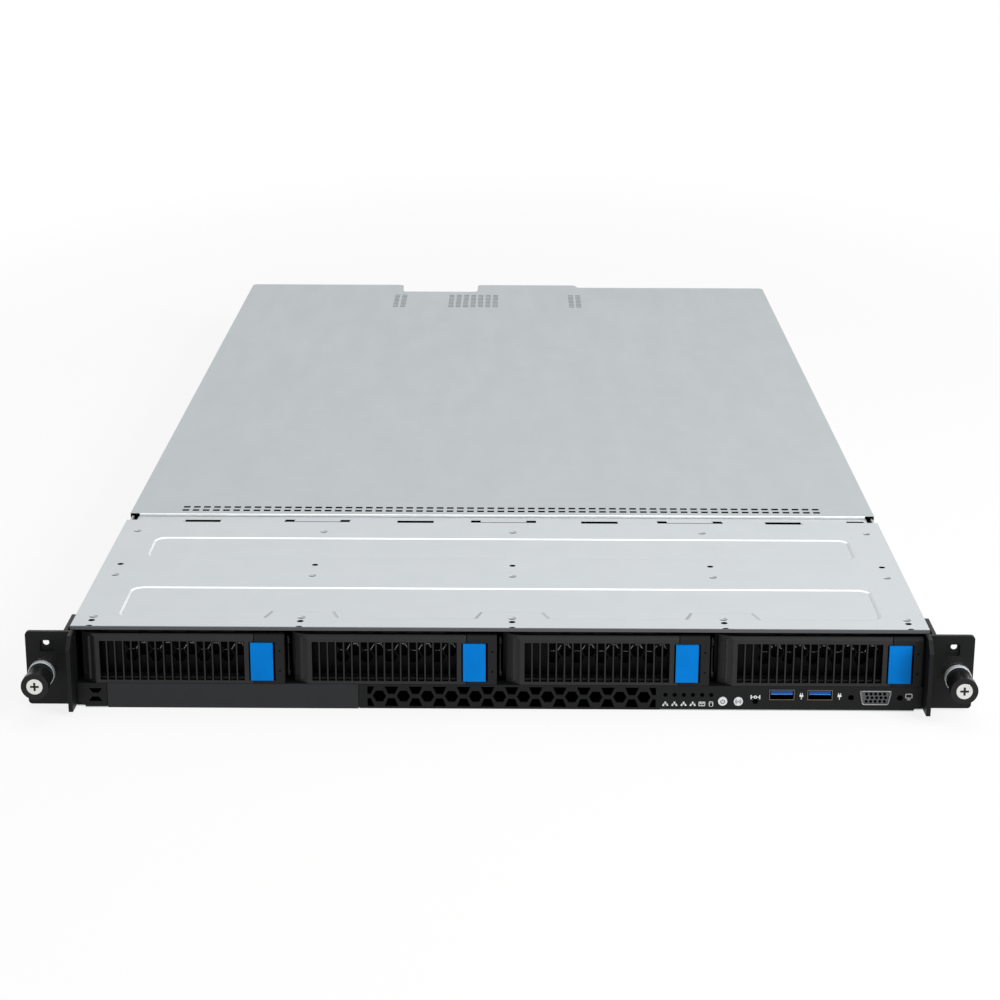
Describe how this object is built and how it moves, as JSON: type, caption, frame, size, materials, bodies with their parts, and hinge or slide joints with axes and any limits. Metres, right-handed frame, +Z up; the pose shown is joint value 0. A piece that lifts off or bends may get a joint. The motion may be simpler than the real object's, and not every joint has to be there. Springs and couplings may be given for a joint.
{
  "type": "1u rack server",
  "caption": "Rack server one unit high: steel case with sliding lid, front drive trays with swing levers, fans, main board and plug-in power supplies.",
  "frame": {"origin": "mid width on the underside, in the plane where the ears' rear faces meet the rack posts", "axes": "+X to the right seen from the front, +Y towards the rear along the length, +Z up"},
  "size_m": [0.4826, 0.8845, 0.044],
  "materials": {
    "case_steel": "zinc-coated sheet, fine spangle",
    "front_cover_steel": "zinc-coated sheet, fine spangle",
    "top_cover_steel": "zinc-coated sheet, matt",
    "black_panel": "black powder coat",
    "black_plastic": "moulded, fine grain",
    "bay_blank_plastic": "moulded, fine grain",
    "screw_steel": "bright nickel",
    "knob_black": "black anodised look",
    "circuit_board": "green solder mask",
    "port_metal": "bright tin",
    "clear_plastic": "clear moulded",
    "sink_aluminium": "extruded",
    "button_white": "white moulded",
    "button_black": "black moulded",
    "tray_plastic": "moulded, fine grain",
    "lever_plastic": "moulded, fine grain",
    "latch_blue": "blue moulded, satin",
    "drive_casting": "cast and machined",
    "rotor_plastic": "moulded",
    "supply_steel": "zinc-coated sheet",
    "supply_latch_plastic": "blue moulded"
  },
  "bodies": {
    "chassis": {"chassis_base": "case_steel", "lower_panel": "black_panel", "front_top_rail": "black_panel", "optical_bay_blank": "bay_blank_plastic", "front_cover": "front_cover_steel", "drive_cage": "case_steel", "left_ear": "black_panel", "right_ear": "black_panel", "thumbscrew_collars": "screw_steel", "backplane": "circuit_board", "front_io_board": "circuit_board", "usb_ports": "port_metal", "vga_port": "port_metal", "light_pipes": "clear_plastic", "fan_frames": "black_plastic", "motherboard": "circuit_board", "heatsinks": "sink_aluminium", "memory_modules": "circuit_board", "air_shroud": "black_plastic", "riser_cards": "circuit_board", "slot_covers": "case_steel", "rear_io_ports": "port_metal", "power_board": "circuit_board", "supply_cage": "case_steel", "rail_studs": "screw_steel"},
    "top_cover": {"top_cover": "top_cover_steel", "top_cover_sides": "top_cover_steel"},
    "knob_left": {"thumbscrew_knob_left": "knob_black", "captive_screw_left": "screw_steel"},
    "knob_right": {"thumbscrew_knob_right": "knob_black", "captive_screw_right": "screw_steel"},
    "power_button": {"power_button": "button_white"},
    "locator_button": {"locator_button": "button_white"},
    "reset_button": {"reset_button": "button_black"},
    "tray_1": {"tray_1": "tray_plastic", "drive_1": "drive_casting"},
    "lever_1": {"lever_1": "lever_plastic"},
    "latch_1": {"latch_1": "latch_blue"},
    "tray_2": {"tray_2": "tray_plastic", "drive_2": "drive_casting"},
    "lever_2": {"lever_2": "lever_plastic"},
    "latch_2": {"latch_2": "latch_blue"},
    "tray_3": {"tray_3": "tray_plastic", "drive_3": "drive_casting"},
    "lever_3": {"lever_3": "lever_plastic"},
    "latch_3": {"latch_3": "latch_blue"},
    "tray_4": {"tray_4": "tray_plastic", "drive_4": "drive_casting"},
    "lever_4": {"lever_4": "lever_plastic"},
    "latch_4": {"latch_4": "latch_blue"},
    "fan_rotor_1": {"fan_rotor_1": "rotor_plastic"},
    "fan_rotor_2": {"fan_rotor_2": "rotor_plastic"},
    "fan_rotor_3": {"fan_rotor_3": "rotor_plastic"},
    "fan_rotor_4": {"fan_rotor_4": "rotor_plastic"},
    "fan_rotor_5": {"fan_rotor_5": "rotor_plastic"},
    "fan_rotor_6": {"fan_rotor_6": "rotor_plastic"},
    "supply_1": {"power_supply_1": "supply_steel"},
    "supply_latch_1": {"supply_latch_1": "supply_latch_plastic"},
    "supply_2": {"power_supply_2": "supply_steel"},
    "supply_latch_2": {"supply_latch_2": "supply_latch_plastic"}
  },
  "joints": [
    {"name": "cover_slide", "type": "slide", "parent": "chassis", "child": "top_cover", "axis": [0, 1, 0], "range_m": [0, 0.015]},
    {"name": "screw_turn_left", "type": "hinge", "parent": "chassis", "child": "knob_left", "pos_m": [-0.23255, -0.0071, 0.0206], "axis": [0, 1, 0], "continuous": true},
    {"name": "screw_turn_right", "type": "hinge", "parent": "chassis", "child": "knob_right", "pos_m": [0.23255, -0.0071, 0.0206], "axis": [0, 1, 0], "continuous": true},
    {"name": "power_press", "type": "slide", "parent": "chassis", "child": "power_button", "axis": [0, 1, 0], "range_m": [0, 0.0008], "stiffness_N_per_m": 600, "springref_m": -0.0005},
    {"name": "locator_press", "type": "slide", "parent": "chassis", "child": "locator_button", "axis": [0, 1, 0], "range_m": [0, 0.0008], "stiffness_N_per_m": 600, "springref_m": -0.0005},
    {"name": "reset_press", "type": "slide", "parent": "chassis", "child": "reset_button", "axis": [0, 1, 0], "range_m": [0, 0.0008], "stiffness_N_per_m": 600, "springref_m": -0.0005},
    {"name": "tray_slide_1", "type": "slide", "parent": "chassis", "child": "tray_1", "axis": [0, -1, 0], "range_m": [0, 0.16]},
    {"name": "lever_swing_1", "type": "hinge", "parent": "tray_1", "child": "lever_1", "pos_m": [-0.2097, 0.0045, 0.0267], "axis": [0, 0, -1], "range_deg": [0, 75]},
    {"name": "latch_press_1", "type": "slide", "parent": "tray_1", "child": "latch_1", "axis": [0, 1, 0], "range_m": [0, 0.002], "stiffness_N_per_m": 400, "springref_m": -0.001},
    {"name": "tray_slide_2", "type": "slide", "parent": "chassis", "child": "tray_2", "axis": [0, -1, 0], "range_m": [0, 0.16]},
    {"name": "lever_swing_2", "type": "hinge", "parent": "tray_2", "child": "lever_2", "pos_m": [-0.1014, 0.0045, 0.0267], "axis": [0, 0, -1], "range_deg": [0, 75]},
    {"name": "latch_press_2", "type": "slide", "parent": "tray_2", "child": "latch_2", "axis": [0, 1, 0], "range_m": [0, 0.002], "stiffness_N_per_m": 400, "springref_m": -0.001},
    {"name": "tray_slide_3", "type": "slide", "parent": "chassis", "child": "tray_3", "axis": [0, -1, 0], "range_m": [0, 0.16]},
    {"name": "lever_swing_3", "type": "hinge", "parent": "tray_3", "child": "lever_3", "pos_m": [0.0069, 0.0045, 0.0267], "axis": [0, 0, -1], "range_deg": [0, 75]},
    {"name": "latch_press_3", "type": "slide", "parent": "tray_3", "child": "latch_3", "axis": [0, 1, 0], "range_m": [0, 0.002], "stiffness_N_per_m": 400, "springref_m": -0.001},
    {"name": "tray_slide_4", "type": "slide", "parent": "chassis", "child": "tray_4", "axis": [0, -1, 0], "range_m": [0, 0.16]},
    {"name": "lever_swing_4", "type": "hinge", "parent": "tray_4", "child": "lever_4", "pos_m": [0.1152, 0.0045, 0.0267], "axis": [0, 0, -1], "range_deg": [0, 75]},
    {"name": "latch_press_4", "type": "slide", "parent": "tray_4", "child": "latch_4", "axis": [0, 1, 0], "range_m": [0, 0.002], "stiffness_N_per_m": 400, "springref_m": -0.001},
    {"name": "fan_spin_1", "type": "hinge", "parent": "chassis", "child": "fan_rotor_1", "pos_m": [-0.175, 0.1895, 0.0211], "axis": [0, 1, 0], "continuous": true},
    {"name": "fan_spin_2", "type": "hinge", "parent": "chassis", "child": "fan_rotor_2", "pos_m": [-0.105, 0.1895, 0.0211], "axis": [0, 1, 0], "continuous": true},
    {"name": "fan_spin_3", "type": "hinge", "parent": "chassis", "child": "fan_rotor_3", "pos_m": [-0.035, 0.1895, 0.0211], "axis": [0, 1, 0], "continuous": true},
    {"name": "fan_spin_4", "type": "hinge", "parent": "chassis", "child": "fan_rotor_4", "pos_m": [0.035, 0.1895, 0.0211], "axis": [0, 1, 0], "continuous": true},
    {"name": "fan_spin_5", "type": "hinge", "parent": "chassis", "child": "fan_rotor_5", "pos_m": [0.105, 0.1895, 0.0211], "axis": [0, 1, 0], "continuous": true},
    {"name": "fan_spin_6", "type": "hinge", "parent": "chassis", "child": "fan_rotor_6", "pos_m": [0.175, 0.1895, 0.0211], "axis": [0, 1, 0], "continuous": true},
    {"name": "supply_slide_1", "type": "slide", "parent": "chassis", "child": "supply_1", "axis": [0, 1, 0], "range_m": [0, 0.18]},
    {"name": "supply_latch_press_1", "type": "slide", "parent": "supply_1", "child": "supply_latch_1", "axis": [-1, 0, 0], "range_m": [0, 0.0025], "stiffness_N_per_m": 400, "springref_m": -0.001},
    {"name": "supply_slide_2", "type": "slide", "parent": "chassis", "child": "supply_2", "axis": [0, 1, 0], "range_m": [0, 0.18]},
    {"name": "supply_latch_press_2", "type": "slide", "parent": "supply_2", "child": "supply_latch_2", "axis": [-1, 0, 0], "range_m": [0, 0.0025], "stiffness_N_per_m": 400, "springref_m": -0.001}
  ]
}
